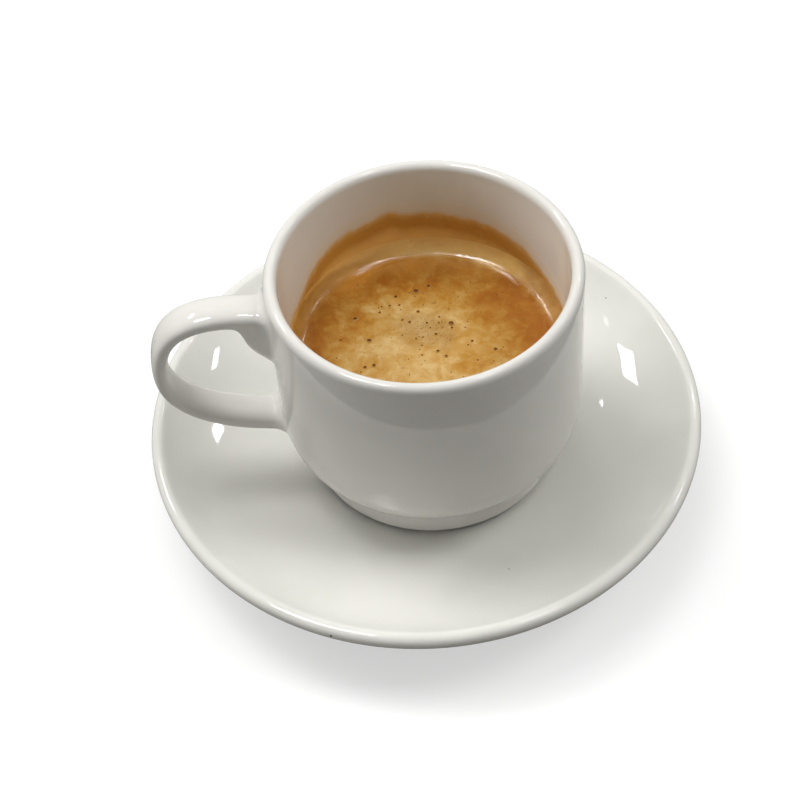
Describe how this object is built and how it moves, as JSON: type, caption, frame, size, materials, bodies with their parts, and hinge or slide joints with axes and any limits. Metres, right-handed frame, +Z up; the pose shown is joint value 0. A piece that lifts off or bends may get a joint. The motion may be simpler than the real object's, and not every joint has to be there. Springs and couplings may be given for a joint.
{
  "type": "espresso shot in a cup on a saucer",
  "caption": "White porcelain espresso cup with a strap handle on a dished saucer, a little over half full of espresso under a tan crema.",
  "frame": {"origin": "middle of the saucer's foot, on the surface that it stands on", "axes": "+Z up; the cup's handle points along -X, so -Y is the side that the picture looks from"},
  "size_m": [0.12, 0.12, 0.0609],
  "materials": {
    "cup_porcelain": "white glaze, glossy",
    "saucer_porcelain": "white glaze, glossy",
    "coffee": "dark brown liquid",
    "crema_foam": "marbled tan foam with fine bubbles"
  },
  "bodies": {
    "root": {"cup": "cup_porcelain", "saucer": "saucer_porcelain", "espresso": "coffee", "crema": "crema_foam"}
  },
  "joints": []
}
